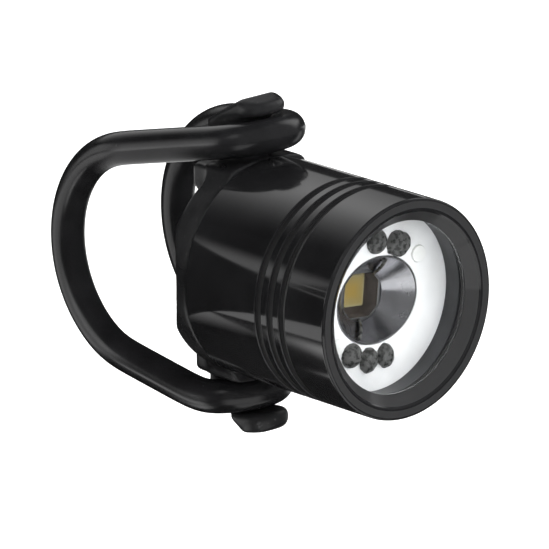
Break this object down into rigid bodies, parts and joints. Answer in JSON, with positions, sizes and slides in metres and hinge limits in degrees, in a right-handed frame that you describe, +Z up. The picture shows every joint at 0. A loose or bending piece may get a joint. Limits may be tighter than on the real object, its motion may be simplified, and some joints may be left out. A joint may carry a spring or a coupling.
{
  "type": "bike headlight",
  "caption": "Cylindrical black bike headlight on a rubber saddle, strapped to a handlebar by an elastic ring over hooks. The lens presses a switch and the bezel unscrews.",
  "frame": {"origin": "on the handlebar's axis, midway across the saddle", "axes": "+X along the handlebar, -Y the way the light points, +Z up"},
  "size_m": [0.0306, 0.0603, 0.0474],
  "materials": {
    "mount_rubber": "satin black, moulded",
    "strap_rubber": "satin black, smooth",
    "seal_rubber": "matt black",
    "black_metal": "gloss black",
    "brass": "turned",
    "steel": "plain",
    "contact_metal": "nickel plated",
    "inner_plastic": "matt black",
    "pale_plastic": "smooth",
    "green_board": "lacquered",
    "white_board": "white lacquer",
    "chip_black": "matt black",
    "lens_clear": "clear, polished",
    "bright_metal": "bright",
    "phosphor": "yellow",
    "led_brown": "dark brown",
    "board_metal": "plain",
    "wire_red": "insulated"
  },
  "bodies": {
    "housing": {"rubber_mount": "mount_rubber", "strap_ring": "strap_rubber", "mount_inserts": "brass", "mount_screws": "steel", "sealing_washers": "seal_rubber", "barrel": "black_metal", "battery_tray": "inner_plastic", "contact_negative": "contact_metal", "rear_cell": "steel", "front_cell": "steel", "contact_positive": "contact_metal", "switch_board": "green_board", "switch_body": "inner_plastic"},
    "light_engine": {"lens": "lens_clear", "lens_gasket": "seal_rubber", "spacer_ring": "inner_plastic", "driver_board": "white_board", "board_chips": "chip_black", "board_rivets": "pale_plastic", "reflector": "bright_metal", "emitter": "phosphor", "led_base": "led_brown", "led_board": "board_metal", "jumper_wires": "wire_red", "engine_housing": "inner_plastic"},
    "switch_button": {"switch_plunger": "pale_plastic"},
    "bezel_carrier": {"bezel_seal": "seal_rubber"},
    "bezel": {"front_bezel": "black_metal"}
  },
  "joints": [
    {"name": "lens_press", "type": "slide", "parent": "housing", "child": "light_engine", "axis": [0, 1, 0], "range_m": [0, 0.0005], "stiffness_N_per_m": 4000},
    {"name": "switch_press", "type": "slide", "parent": "housing", "child": "switch_button", "axis": [0, 1, 0], "range_m": [0, 0.0005]},
    {"name": "bezel_advance", "type": "slide", "parent": "housing", "child": "bezel_carrier", "axis": [0, -1, 0], "range_m": [0, 0.00401]},
    {"name": "bezel_unscrew", "type": "hinge", "parent": "bezel_carrier", "child": "bezel", "pos_m": [0, -0.038, 0], "axis": [0, -1, 0], "range_deg": [0, 1440]}
  ],
  "couplings": [
    {"joint": "switch_press", "follows": "lens_press", "ratio": 1},
    {"joint": "bezel_advance", "follows": "bezel_unscrew", "m_per_rad": 0.00015915}
  ]
}
